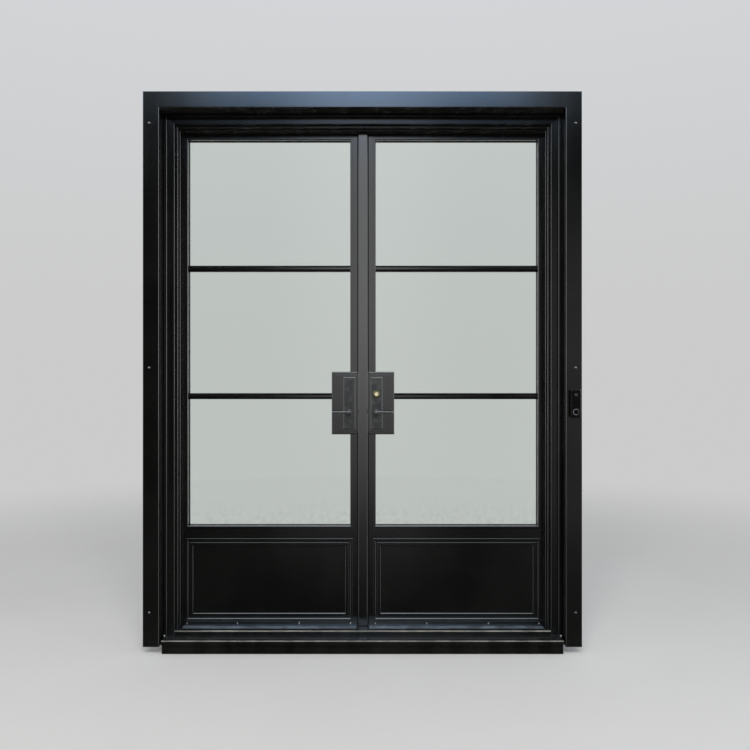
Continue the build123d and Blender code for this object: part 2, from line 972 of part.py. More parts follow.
drip_front = out_face - drip_reach
drip_root_z = leaf_bottom + drip_root
drip_tip_z = drip_root_z - drip_fall
drip_outline = [
    (out_face, leaf_bottom + drip_flange_top),
    (out_face - drip_sheet, leaf_bottom + drip_flange_top),
    (out_face - drip_sheet, drip_root_z + drip_sheet),
    (drip_front, drip_tip_z + drip_sheet),
    (drip_front, drip_tip_z - drip_lip),
    (drip_front + drip_sheet, drip_tip_z - drip_lip),
    (drip_front + drip_sheet, drip_tip_z),
    (out_face, drip_root_z),
]


def drip_bar(side):
    with BuildPart() as bar:
        near, far = leaf_near + drip_inset, leaf_far - drip_far_inset
        profile = section(Plane.YZ.offset(min(side * near, side * far)), drip_outline)
        extrude(profile, amount=far - near)
    return bar


astragal_front = seat_face - astragal_thickness
astragal_bottom = sill_height + sill_step + astragal_end_gap
astragal_top = casing_top - stop_edge - astragal_end_gap


def seals(side):
    with BuildPart() as strips:
        block(
            side * (leaf_near + sweep_end),
            side * (leaf_far - sweep_end),
            -sweep_thickness / 2,
            sweep_thickness / 2,
            sill_height + running_gap,
            leaf_bottom,
        )
        if side == LEFT:
            # the passive leaf's strip on the astragal, which the active leaf shuts on
            edge = astragal_width / 2 - astragal_round
            block(edge - seal_width, edge, seat_face, seal_back, astragal_bottom, astragal_top)
            # and the sweep makes room for the shoot bolt
            block(
                keep_x - keep_length / 2,
                keep_x + keep_length / 2,
                -sweep_thickness / 2,
                sweep_thickness / 2,
                sill_height,
                leaf_bottom,
                Mode.SUBTRACT,
            )
    return strips


for name, side in sides.items():
    write(f"{name}_hinge_stile", stile(side, far_stile_inner, leaf_far, leaf_far))
    write(f"{name}_lock_stile", lock_stile(side))
    write(f"{name}_top_rail", rail(side, glass_top, leaf_top))
    write(f"{name}_mid_rail", rail(side, mid_rail_bottom, mid_rail_top))
    write(f"{name}_bottom_rail", rail(side, leaf_bottom, panel_bottom))
    write(f"{name}_glass_panes", glass_panes(side))
    write(f"{name}_glass_spacer", glass_spacer(side))
    beads = []
    for outline, corners in both_faces(bead_outline, bead_corners):
        opening = (stile_inner, far_stile_inner, mid_rail_top, glass_top)
        beads += framed(side, *opening, outline, corners, gap=(box_bottom, box_top))
    write(f"{name}_glazing_beads", *beads)
    write(f"{name}_glazing_bars", glazing_bars(side))
    write(f"{name}_panel_sheets", panel_sheets(side))
    mouldings = []
    for outline, corners in both_faces(moulding_outline, moulding_corners):
        opening = (stile_inner, far_stile_inner, panel_bottom, mid_rail_bottom)
        mouldings += framed(side, *opening, outline, corners)
    write(f"{name}_panel_mouldings", *mouldings)
    write(f"{name}_lock_box", lock_box(side))
    write(f"{name}_handle_plates", handle_plates(side))
    write(f"{name}_levers", levers(side))
    write(f"{name}_drip_bar", drip_bar(side))
    write(f"{name}_seals", seals(side))

# The active leaf's bolts slide in its lock case and enter the passive leaf's face plate

bolt_hole = (latch_thickness + 2 * slide_gap, latch_width + 2 * slide_gap)
dead_hole = (deadbolt_thickness + 2 * slide_gap, deadbolt_width + 2 * slide_gap)
write("right_lock_case", lock_case(RIGHT, bolt_hole, dead_hole))

bolt_pocket = (latch_thickness + 2 * strike_gap, latch_width + 2 * strike_gap)
dead_pocket = (deadbolt_thickness + 2 * strike_gap, deadbolt_width + 2 * strike_gap)
write("left_lock_case", lock_case(LEFT, bolt_pocket, dead_pocket))

with BuildPart() as latch_bolt:
    tip = leaf_near - latch_throw
    half = latch_thickness / 2
    plan = [
        (tip, half),
        (tip, -half + latch_bevel),
        (tip + latch_bevel, -half),
        (tip + latch_length, -half),
        (tip + latch_length, half),
    ]
    profile = section(Plane.XY.offset(lever_height - latch_width / 2), plan)
    extrude(profile, amount=latch_width)
write("latch_bolt", latch_bolt)

with BuildPart() as deadbolt:
    half = deadbolt_thickness / 2
    block(
        leaf_near,
        leaf_near + deadbolt_length,
        -half,
        half,
        cylinder_height - deadbolt_width / 2,
        cylinder_height + deadbolt_width / 2,
    )
    fillet(edges().filter_by(Axis.Y).group_by(Axis.X)[0], bolt_round)
write("deadbolt", deadbolt)

with BuildPart() as key_cylinder:
    rod_along_y(lever_axis, cylinder_height, -plate_face, -case_thickness / 2, cylinder_radius)
    front = -plate_face - collar_thickness
    rod_along_y(lever_axis, cylinder_height, front, -plate_face, collar_radius)
    fillet(edges().filter_by(GeomType.CIRCLE).group_by(Axis.Y)[0], collar_thickness * round_share)
    block(
        lever_axis - keyway_width / 2,
        lever_axis + keyway_width / 2,
        front,
        front + keyway_depth,
        cylinder_height - keyway_height / 2,
        cylinder_height + keyway_height / 2,
        Mode.SUBTRACT,
    )
write("key_cylinder", key_cylinder)

with BuildPart() as thumb_turn:
    case_inside = case_thickness / 2 - case_wall
    disc_back = plate_face + running_gap
    disc_front = disc_back + turn_thickness
    rod_along_y(lever_axis, cylinder_height, case_inside, disc_back, turn_stem_radius)
    rod_along_y(lever_axis, cylinder_height, disc_back, disc_front, turn_radius)
    block(
        lever_axis - turn_blade / 2,
        lever_axis + turn_blade / 2,
        disc_front,
        disc_front + turn_blade_reach,
        cylinder_height - turn_blade_length / 2,
        cylinder_height + turn_blade_length / 2,
    )
    fillet(edges().filter_by(Axis.Y).group_by(Axis.Y)[-1], turn_blade_round)
write("thumb_turn", thumb_turn)

# The passive leaf's shoot bolts run in its lock stile from the case to the keeps

with BuildPart() as shoot_bolt_top:
    foot, tip = case_top - shoot_in_case, rabbet_top + shoot_engagement
    rod_along_z(keep_x, 0, foot, tip, shoot_radius)
    fillet(edges().filter_by(GeomType.CIRCLE).sort_by(Axis.Z)[-1], bolt_round)
write("shoot_bolt_top", shoot_bolt_top)

with BuildPart() as shoot_bolt_bottom:
    tip, top = sill_height - shoot_engagement, case_bottom + shoot_in_case
    rod_along_z(keep_x, 0, tip, top, shoot_radius)
    fillet(edges().filter_by(GeomType.CIRCLE).sort_by(Axis.Z)[0], bolt_round)
write("shoot_bolt_bottom", shoot_bolt_bottom)

with BuildPart() as astragal:
    half = astragal_width / 2
    profile = section(
        Plane.XY.offset(astragal_bottom),
        [(-half, seat_face), (-half, astragal_front), (half, astragal_front), (half, seat_face)],
        [((-half, astragal_front), astragal_round), ((half, astragal_front), astragal_round)],
        astragal_wall,
    )
    extrude(profile, amount=astragal_top - astragal_bottom)
    block(
        -leaf_near - astragal_spacer,
        -leaf_near,
        seat_face,
        out_face,
        astragal_bottom,
        astragal_top,
    )
write("left_astragal", astragal)

# Doorbell on the right casing

bell_x = casing_half + bell_from_casing_edge
bell_front = casing_front - bell_depth
button_z = bell_middle - bell_height / 2 + button_up
pocket_floor = bell_front + button_thickness + button_travel

with BuildPart() as doorbell_case:
    with BuildSketch(Plane.XZ.offset(-casing_front)):
        with Locations((bell_x, bell_middle)):
            RectangleRounded(bell_width, bell_height, bell_round)
    extrude(amount=bell_depth)
    fillet(faces().sort_by(Axis.Y)[0].edges(), bell_edge)
    rod_along_y(
        bell_x, button_z, bell_front, pocket_floor, button_radius + slide_gap, Mode.SUBTRACT
    )
write("doorbell_case", doorbell_case)

with BuildPart() as doorbell_ring:
    rod_along_y(bell_x, button_z, bell_front - ring_thickness, bell_front, ring_radius)
    hole = button_radius + slide_gap + ring_gap
    rod_along_y(bell_x, button_z, bell_front - ring_thickness, bell_front, hole, Mode.SUBTRACT)
write("doorbell_ring", doorbell_ring)

with BuildPart() as doorbell_button:
    front = bell_front - button_proud
    rod_along_y(bell_x, button_z, front, front + button_thickness + button_proud, button_radius)
    fillet(edges().filter_by(GeomType.CIRCLE).group_by(Axis.Y)[0], button_proud * round_share)
write("doorbell_button", doorbell_button)
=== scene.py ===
import json
import math

import bmesh
import bpy
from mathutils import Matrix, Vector


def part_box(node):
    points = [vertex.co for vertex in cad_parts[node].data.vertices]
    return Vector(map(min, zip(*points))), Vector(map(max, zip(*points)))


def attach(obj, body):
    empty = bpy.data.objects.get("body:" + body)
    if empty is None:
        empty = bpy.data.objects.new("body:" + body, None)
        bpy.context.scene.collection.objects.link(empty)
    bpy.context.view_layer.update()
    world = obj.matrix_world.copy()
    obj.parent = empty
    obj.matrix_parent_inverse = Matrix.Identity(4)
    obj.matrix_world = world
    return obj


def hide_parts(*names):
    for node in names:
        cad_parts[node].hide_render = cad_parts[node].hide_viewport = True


print("loading the packed doors")
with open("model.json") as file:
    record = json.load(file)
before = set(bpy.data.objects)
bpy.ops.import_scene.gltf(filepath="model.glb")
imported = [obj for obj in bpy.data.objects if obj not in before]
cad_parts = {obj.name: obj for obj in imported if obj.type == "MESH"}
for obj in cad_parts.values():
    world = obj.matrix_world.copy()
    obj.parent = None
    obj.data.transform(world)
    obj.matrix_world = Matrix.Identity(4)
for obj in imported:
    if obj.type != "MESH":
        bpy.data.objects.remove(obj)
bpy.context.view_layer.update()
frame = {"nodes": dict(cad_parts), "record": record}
nodes = frame["nodes"]
mm = 0.001


class Wire:
    # an output socket that takes part in Python expressions
    def __init__(self, tree, socket):
        self.tree, self.socket = tree, socket

    def maths(self, operation, first, second):
        return self.tree.add("ShaderNodeMath", {0: first, 1: second}, operation=operation)

    def __add__(self, other):
        return self.maths("ADD", self, other)

    def __radd__(self, other):
        return self.maths("ADD", other, self)

    def __sub__(self, other):
        return self.maths("SUBTRACT", self, other)

    def __rsub__(self, other):
        return self.maths("SUBTRACT", other, self)

    def __mul__(self, other):
        return self.maths("MULTIPLY", self, other)

    def __rmul__(self, other):
        return self.maths("MULTIPLY", other, self)

    def __pow__(self, other):
        return self.maths("POWER", self, other)

    def magnitude(self):
        return self.maths("ABSOLUTE", self, 0.0)

    def atLeast(self, other):
        return self.maths("MAXIMUM", self, other)

    def ramped(self, low, high, start=0.0, end=1.0):
        # eases from start at low to end at high
        ends = {"Value": self, "From Min": low, "From Max": high, "To Min": start, "To Max": end}
        return self.tree.add("ShaderNodeMapRange", ends, interpolation_type="SMOOTHSTEP")


class Tree:
    def __init__(self, nodeTree):
        self.nodeTree = nodeTree
        nodeTree.nodes.clear()

    def add(self, kind, sockets=None, out=0, **settings):
        made = self.nodeTree.nodes.new(kind)
        for key, value in settings.items():
            setattr(made, key, value)
        for key, value in (sockets or {}).items():
            for one in value if isinstance(value, list) else [value]:
                if isinstance(one, Wire):
                    self.nodeTree.links.new(one.socket, made.inputs[key])
                else:
                    made.inputs[key].default_value = one
        return Wire(self, made.outputs[out]) if made.outputs else made

    def split(self, vector):
        parts = self.add("ShaderNodeSeparateXYZ", {0: vector}).socket.node.outputs
        return [Wire(self, part) for part in parts]

    def blend(self, factor, first, second):
        first, second = (c if isinstance(c, Wire) else (*c, 1.0) for c in (first, second))
        return self.add("ShaderNodeMix", {0: factor, 6: first, 7: second}, out=2, data_type="RGBA")


class Finish(Tree):
    # a material whose patterns lie in the object's own coordinates
    def __init__(self, name):
        self.material = bpy.data.materials.new(name)
        self.material.use_nodes = True
        super().__init__(self.material.node_tree)
        self.place = self.add("ShaderNodeTexCoord", out="Object")
        self.facing = self.add("ShaderNodeTexCoord", out="Normal")

    def noise(self, scale, detail, stretch=None):
        place = self.place
        if stretch:
            place = self.add("ShaderNodeMapping", {"Vector": place, "Scale": stretch})
        return self.add("ShaderNodeTexNoise", {"Vector": place, "Scale": scale, "Detail": detail})

    def bumps(self, *layers):
        # layers of (height, depth in metres), the broadest first
        normal = None
        for height, depth in layers:
            sockets = {"Height": height, "Distance": depth}
            if normal:
                sockets["Normal"] = normal
            normal = self.add("ShaderNodeBump", sockets)
        return normal

    def done(self, sockets):
        surface = self.add("ShaderNodeBsdfPrincipled", sockets)
        self.add("ShaderNodeOutputMaterial", {"Surface": surface})
        return self.material


print("mixing the finishes")

steelPaint = {
    "deep": (0.0017, 0.0019, 0.0016),
    "worn": (0.0048, 0.0052, 0.0044),
    # a pale colour for dust, also used as painted light on faces under the head
    "dustAndPaintedLight": (0.135, 0.130, 0.122),
    "cloudNoise": (2.6, 4),  # scale, detail and stretch
    "streakNoise": (14, 4, (1, 1, 0.06)),
    "speckNoise": (260, 2),
    "waveNoise": (1.6, 1),
    "grainNoise": (780, 2),
    "cloudRange": (0.35, 0.68),
    "roughness": 0.12,
    "cloudSmear": 0.06,  # roughness that each pattern adds
    "streakSmear": 0.07,
    "speckSmear": 0.04,
    "dustAndLightSmear": 0.8,
    "meanSmear": 0.08,
    "specular": 0.70,
    "sill": 0.22,  # specular level of the sill, lowered as painted shade so the tread reads darker
    "headJamb": 0.32,  # of the head jamb, lowered as painted shade under the casing
    "coverStrip": 1.0,  # of the strip over the leaves' joint, raised as painted light
    "topPaleShare": 0.025,  # dust on faces that look up
    "topRange": (0.35, 0.95),
    "headUnderLight": 0.16,  # painted light on faces that look down under the head
    "headRange": (-0.35, -0.95),
    "headFoot": (2.40, 2.45),
    "footDust": 0.02,  # near the sill
    "footRange": (0.16, 0.02),
    "edgeWearAndHighlight": 0.75,
    "treadRange": (0.2, 0.6),
    "treadFade": 0.002,  # width over which a pale edge strip fades out
    "sheetWave": 0.0009,  # depth of the slow waves in the rolled steel
    "sprayGrain": 0.00003,
}


def paintedSteel(name, topPaleShare, specular, dustAndPaintedLight=steelPaint["dustAndPaintedLight"], forward=None, edges=()):
    # forward: how far before the leaf the pale top starts; on the drip bar this is a painted sky
    # reflection, and the strip next to the leaf stays dark as painted shade
    # edges: (back, front, lowest) of pale strips along edges: wear from feet and a painted highlight
    paint = Finish(name)
    depth, height = paint.split(paint.place)[1:]
    up = paint.split(paint.facing)[2]
    clouds = paint.noise(*steelPaint["cloudNoise"])
    streaks = paint.noise(*steelPaint["streakNoise"])
    specks = paint.noise(*steelPaint["speckNoise"])
    wave = paint.noise(*steelPaint["waveNoise"])
    grain = paint.noise(*steelPaint["grainNoise"])
    foot = height.ramped(*steelPaint["footRange"]) * steelPaint["footDust"]
    top = up.ramped(*steelPaint["topRange"]) * topPaleShare
    if forward:
        top = top * depth.ramped(*forward)
    fade = steelPaint["treadFade"]
    # pale edge strips: wear from feet and a painted highlight along the edges
    for back, front, lowest in edges:
        strip = depth.ramped(back, back - fade) * depth.ramped(front, front + fade)
        strip = strip * height.ramped(lowest, lowest + fade)
        top = top + strip * up.ramped(*steelPaint["treadRange"]) * steelPaint["edgeWearAndHighlight"]
    # painted light: faces that look down under the head are made paler, standing for light thrown up
    # from below
    underLight = up.ramped(*steelPaint["headRange"]) * height.ramped(*steelPaint["headFoot"])
    underLight = underLight * steelPaint["headUnderLight"]
    # mask of dust together with painted light and painted highlights
    dustAndLightMask = (top + foot + underLight) * streaks.ramped(0.3, 0.7, 0.45, 1.25)
    dustAndLightMask = dustAndLightMask * specks.ramped(0.35, 0.6, 0.7, 1)
    tone = clouds.ramped(*steelPaint["cloudRange"])
    tone = paint.blend(tone, steelPaint["deep"], steelPaint["worn"])
    smear = clouds * steelPaint["cloudSmear"] + streaks * steelPaint["streakSmear"]
    smear = smear + specks * steelPaint["speckSmear"] + dustAndLightMask * steelPaint["dustAndLightSmear"]
    return paint.done({
        "Base Color": paint.blend(dustAndLightMask, tone, dustAndPaintedLight),
        "Roughness": smear + (steelPaint["roughness"] - steelPaint["meanSmear"]),
        "Specular IOR Level": specular,
        "Normal": paint.bumps((wave, steelPaint["sheetWave"]), (grain, steelPaint["sprayGrain"])),
    })


handleCoat = {
    "plates": {"deep": (0.0120, 0.0122, 0.0112), "worn": (0.032, 0.031, 0.028), "specular": 0.44},
    "levers": {"deep": (0.028, 0.029, 0.027), "worn": (0.066, 0.065, 0.061), "specular": 0.56},
    "cloudNoise": (38, 3),
    "grainNoise": (1500, 2),
    "roughness": 0.40,
    "smear": 0.16,
    "meanSmear": 0.06,
    "grain": 0.00006,
    "topPaler": 0.25,  # how much paler faces that look up are made
}


def handleBlack(name, tones):
    coat = Finish(name)
    clouds = coat.noise(*handleCoat["cloudNoise"])
    grain = coat.noise(*handleCoat["grainNoise"])
    up = coat.split(coat.facing)[2]
    palerShare = clouds.ramped(0.42, 0.72) + up.ramped(0.5, 1.0) * handleCoat["topPaler"]
    return coat.done({
        "Base Color": coat.blend(palerShare, tones["deep"], tones["worn"]),
        "Roughness": clouds * handleCoat["smear"]
        + (handleCoat["roughness"] - handleCoat["meanSmear"]),
        "Specular IOR Level": tones["specular"],
        "Normal": coat.bumps((grain, handleCoat["grain"])),
    })


paneGlass = {
    "tint": (0.925, 0.955, 0.935),
    "film": (0.86, 0.89, 0.87),
    "refraction": 1.52,
    "mirroring": (0.35, 0.35, 0.35, 1.0),  # share of the usual reflection, as on coated panes
    "filmRange": (0.75, 0.55),  # heights between which rain splash dulls the panes
    "filmHaze": 0.05,
    "splashNoise": (46, 5),
    "dripNoise": (30, 3, (1, 1, 0.05)),
}


def clearGlass():
    glass = Finish("clearGreenishGlass")
    height = glass.split(glass.place)[2]
    splash = glass.noise(*paneGlass["splashNoise"])
    drips = glass.noise(*paneGlass["dripNoise"])
    low = height.ramped(*paneGlass["filmRange"])
    film = low * splash.ramped(0.42, 0.66) * drips.ramped(0.3, 0.7, 0.4, 1)
    return glass.done({
        "Base Color": glass.blend(film, paneGlass["tint"], paneGlass["film"]),
        "Roughness": film * paneGlass["filmHaze"],
        "IOR": paneGlass["refraction"],
        "Specular Tint": paneGlass["mirroring"],
        "Transmission Weight": 1.0,
    })


sealRubber = {
    "fresh": (0.010, 0.010, 0.010), "bloom": (0.032, 0.031, 0.029), "specular": 0.35,
    "bloomNoise": (24, 4, (1, 1, 0.3)), "grainNoise": (900, 2), "grain": 0.00008,
    "roughness": 0.62, "smear": 0.2,
}
# near black and almost without gloss: rubber lips whose finish is painted shade for the gap beside
# the cover strip
lipShadeRubber = {"fresh": (0.0015, 0.0015, 0.0015), "bloom": (0.004, 0.004, 0.004), "specular": 0.04}


def rubber(name, tones):
    seal = Finish(name)
    bloom = seal.noise(*sealRubber["bloomNoise"])
    grain = seal.noise(*sealRubber["grainNoise"])
    return seal.done({
        "Base Color": seal.blend(bloom.ramped(0.4, 0.75), tones["fresh"], tones["bloom"]),
        "Roughness": bloom * sealRubber["smear"] + sealRubber["roughness"],
        "Specular IOR Level": tones["specular"],
        "Normal": seal.bumps((grain, sealRubber["grain"])),
    })


brushing = {
    "lineNoise": (520, 3), "lineShare": 0.3, "lineDepth": 0.00002,
    "stainNoise": (21, 5), "stainShare": 0.5, "smear": 0.22,
}
spacerAlloy = {
    "light": (0.075, 0.077, 0.078), "dark": (0.030, 0.031, 0.032), "roughness": 0.3,
    "stretch": (1, 1, 0.04),
}
bareSteel = {
    "light": (0.36, 0.355, 0.345), "dark": (0.10, 0.095, 0.088), "roughness": 0.30,
    "stretch": (1, 0.1, 0.1),
}
dulledSteel = {
    "light": (0.085, 0.084, 0.080), "dark": (0.022, 0.021, 0.020), "roughness": 0.30,
    "stretch": (1, 0.1, 0.1),
}


def brushedMetal(name, look):
    metal = Finish(name)
    lines = metal.noise(*brushing["lineNoise"], look["stretch"])
    stains = metal.noise(*brushing["stainNoise"])
    mask = stains.ramped(0.45, 0.78, 0, brushing["stainShare"])
    mask = mask + lines.ramped(0.3, 0.75, 0, brushing["lineShare"])
    return metal.done({
        "Base Color": metal.blend(mask, look["light"], look["dark"]),
        "Metallic": 1.0,
        "Roughness": mask * brushing["smear"] + look["roughness"],
        "Normal": metal.bumps((lines, brushing["lineDepth"])),
    })


cylinderBrass = {
    "polished": (0.93, 0.82, 0.55),
    "tarnish": (0.060, 0.052, 0.018),
    "centre": (0.066, 1.209),
    "coreRadius": 0.0084,
    "rimRadius": 0.0104,
    "rimShare": 0.95,
    "ringScale": 2600.0,  # turning marks, in rings about the axis
    "ringDepth": 0.00002,
    "stainNoise": (190, 4),
    "stainShare": 0.3,
    "roughness": 0.16,
    "tarnishSmear": 0.25,
    "stainSmear": 0.08,
}


def lockBrass():
    brass = Finish("polishedBrass")
    x, z = brass.split(brass.place)[::2]
    centreX, centreZ = cylinderBrass["centre"]
    fromAxis = ((x - centreX) ** 2.0 + (z - centreZ) ** 2.0) ** 0.5
    turning = {"W": fromAxis * cylinderBrass["ringScale"], "Scale": 1.0}
    rings = brass.add("ShaderNodeTexNoise", turning, noise_dimensions="1D")
    stains = brass.noise(*cylinderBrass["stainNoise"])
    radii = cylinderBrass["coreRadius"], cylinderBrass["rimRadius"]
    mask = fromAxis.ramped(*radii, 0, cylinderBrass["rimShare"])
    mask = mask + stains.ramped(0.5, 0.8, 0, cylinderBrass["stainShare"])
    smear = mask * cylinderBrass["tarnishSmear"] + stains * cylinderBrass["stainSmear"]
    return brass.done({
        "Base Color": brass.blend(mask, cylinderBrass["polished"], cylinderBrass["tarnish"]),
        "Metallic": 1.0,
        "Roughness": smear + cylinderBrass["roughness"],
        "Normal": brass.bumps((rings, cylinderBrass["ringDepth"])),
    })


bellShell = {
    "clean": (0.0012, 0.0014, 0.0018), "smeared": (0.0035, 0.0038, 0.0042),
    "smearNoise": (60, 4), "roughness": 0.04, "smear": 0.10, "specular": 0.16,
    "grainNoise": (1200, 1), "grain": 0.000008,
}


def bellPlastic():
    shell = Finish("glossBellPlastic")
    smears = shell.noise(*bellShell["smearNoise"])
    tone = shell.blend(smears.ramped(0.4, 0.8), bellShell["clean"], bellShell["smeared"])
    return shell.done({
        "Base Color": tone,
        "Roughness": smears * bellShell["smear"] + bellShell["roughness"],
        "Specular IOR Level": bellShell["specular"],
        "Normal": shell.bumps((shell.noise(*bellShell["grainNoise"]), bellShell["grain"])),
    })


ringShape = {
    "centre": (0.987, 1.1315), "brightTo": (0.0136, 0.0147), "shadedFrom": (0.003, 0.012),
    "shade": 0.72, "lean": 0.4,  # painted shade on the lower right
    "bright": (0.50, 0.52, 0.54), "dullAndShade": (0.030, 0.032, 0.034),
    "smearNoise": (130, 4), "smearShare": 0.5, "roughness": 0.12, "smear": 0.22,
    "grainNoise": (900, 1), "grain": 0.00001,
}


def bellRing():
    ring = Finish("satinBellRing")
    smears = ring.noise(*ringShape["smearNoise"])
    x, z = ring.split(ring.place)[::2]
    across, up = x - ringShape["centre"][0], z - ringShape["centre"][1]
    fromAxis = (across ** 2.0 + up ** 2.0) ** 0.5
    dullAndShade = fromAxis.ramped(*ringShape["brightTo"])
    # painted shade on the lower right of the ring
    shaded = across - up * ringShape["lean"]
    dullAndShade = dullAndShade.atLeast(shaded.ramped(*ringShape["shadedFrom"], 0, ringShape["shade"]))
    dullAndShade = dullAndShade.atLeast(smears.ramped(0.35, 0.75, 0, ringShape["smearShare"]))
    return ring.done({
        "Base Color": ring.blend(dullAndShade, ringShape["bright"], ringShape["dullAndShade"]),
        "Metallic": 1.0,
        "Roughness": smears * ringShape["smear"] + ringShape["roughness"],
        "Normal": ring.bumps((ring.noise(*ringShape["grainNoise"]), ringShape["grain"])),
    })


lensTint = {
    "dark": (0.034, 0.014, 0.012), "pale": (0.058, 0.026, 0.022), "noise": (200, 2),
    "roughness": 0.10, "smear": 0.04, "specular": 0.2,
}


def bellLens():
    lens = Finish("darkBellLens")
    sheen = lens.noise(*lensTint["noise"])
    return lens.done({
        "Base Color": lens.blend(sheen, lensTint["dark"], lensTint["pale"]),
        "Roughness": sheen * lensTint["smear"] + lensTint["roughness"],
        "Specular IOR Level": lensTint["specular"],
    })


finishes = {
    "black_steel": paintedSteel("glossBlackSteel", steelPaint["topPaleShare"], steelPaint["specular"]),
    "handle_black": handleBlack("powderCoatedBlack", handleCoat["plates"]),
    "glass": clearGlass(),
    "seal": rubber("mattSealRubber", sealRubber),
    "spacer": brushedMetal("darkAnodisedSpacer", spacerAlloy),
    "bare_steel": brushedMetal("bareSteel", bareSteel),
    "brass": lockBrass(),
    "bell_plastic": bellPlastic(),
    "bell_ring": bellRing(),
}
lensFinish = bellLens()
casingScrewFinish = brushedMetal("dulledScrewSteel", dulledSteel)
lipShadeFinish = rubber("blackLipRubber", lipShadeRubber)
leverFinish = handleBlack("rubbedBlackLevers", handleCoat["levers"])
# painted sky reflection: a bluish pale top on the drip bar, left dark near the leaf as painted shade
dripSkySheen = {"dustAndPaintedLight": 0.72, "colour": (0.085, 0.106, 0.130), "from": (-0.048, -0.060)}
dripSkySheenFinish = paintedSteel("rainDulledBlackSteel", dripSkySheen["dustAndPaintedLight"], steelPaint["specular"],
                          dripSkySheen["colour"], dripSkySheen["from"])
# pale strips on the sill's nose and stop edges: wear from feet and a painted highlight of the edge
# lines
sillWearAndHighlight = {"colour": (0.36, 0.355, 0.318), "edges": ((-0.194, -0.30, 0.05), (-0.099, -0.130, 0.072))}
sillFinish = paintedSteel("troddenBlackSteel", steelPaint["topPaleShare"], steelPaint["sill"],
                          sillWearAndHighlight["colour"], edges=sillWearAndHighlight["edges"])
# a copy of the paint with lower specular: painted shade under the head casing
headJambFinish = paintedSteel(
    "shelteredBlackSteel", steelPaint["topPaleShare"], steelPaint["headJamb"]
)
# a copy of the paint with higher specular: painted light on the cover strip
stripFinish = paintedSteel("brighterBlackSteel", steelPaint["topPaleShare"], steelPaint["coverStrip"])

print("dressing the CAD nodes")
for row in frame["record"]["subparts"]:
    shown = nodes[row["node"]]
    shown.data.materials.clear()
    shown.data.materials.append(finishes[row["material_slot"]])
for side in ("left", "right"):
    nodes[side + "_glass_panes"].visible_shadow = False  # daylight passes through the panes
    nodes[side + "_drip_bar"].data.materials[0] = dripSkySheenFinish
nodes["left_astragal"].data.materials[0] = stripFinish
nodes["sill"].data.materials[0] = sillFinish
nodes["jamb_head"].data.materials[0] = headJambFinish


def meshObject(name, mesh, body, slot, replaced=(), finish=None, sharp=35):
    mesh.shade_smooth()
    mesh.set_sharp_from_angle(angle=math.radians(sharp))
    if not mesh.materials:
        mesh.materials.append(finish or finishes[slot])
    made = bpy.data.objects.new(name, mesh)
    bpy.context.scene.collection.objects.link(made)
    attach(made, body)
    if replaced:
        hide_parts(*replaced)
    return made


class Growth(Tree):
    # a Geometry Nodes tree with named sizes, grown on a mesh and kept as a plain mesh
    def __init__(self, name, sizes):
        super().__init__(bpy.data.node_groups.new(name, "GeometryNodeTree"))
        sockets = self.nodeTree.interface
        sockets.new_socket("Geometry", in_out="INPUT", socket_type="NodeSocketGeometry")
        sockets.new_socket("Geometry", in_out="OUTPUT", socket_type="NodeSocketGeometry")
        self.keys = {}
        for key, kind in {**sizes, "Finish": "Material"}.items():
            made = sockets.new_socket(key, in_out="INPUT", socket_type="NodeSocket" + kind)
            self.keys[key] = made.identifier
        self.entry = self.nodeTree.nodes.new("NodeGroupInput")

    def given(self, key):
        return Wire(self, self.entry.outputs[key])

    def deliver(self, geometry):
        real = self.add("GeometryNodeRealizeInstances", {"Geometry": geometry})
        coated = self.add(
            "GeometryNodeSetMaterial", {"Geometry": real, "Material": self.given("Finish")}
        )
        self.add("NodeGroupOutput", {"Geometry": coated})

    def grow(self, name, base, body, slot, sizes, replaced=(), finish=None):
        seed = bpy.data.objects.new(name + "Seed", base)
        bpy.context.scene.collection.objects.link(seed)
        modifier = seed.modifiers.new("growth", "NODES")
        modifier.node_group = self.nodeTree
        for key, value in {**sizes, "Finish": finish or finishes[slot]}.items():
            modifier[self.keys[key]] = value
        graph = bpy.context.evaluated_depsgraph_get()
        mesh = bpy.data.meshes.new_from_object(seed.evaluated_get(graph), depsgraph=graph)
        seed.modifiers.remove(modifier)
        bpy.data.objects.remove(seed)
        return meshObject(name, mesh, body, slot, replaced)


def points(places):
    mesh = bpy.data.meshes.new("places")
    mesh.from_pydata([Vector(p) * mm for p in places], [], [])
    return mesh


screwForm = {
    "segments": 20, "rings": 12,
    "foot": -0.05,  # how far the dome reaches below the face, as a share of its rise
    "recessSpan": 1.05, "recessWidth": 0.26,  # shares of the head's radius
    "recessDepth": 0.62,  # share of its rise
}


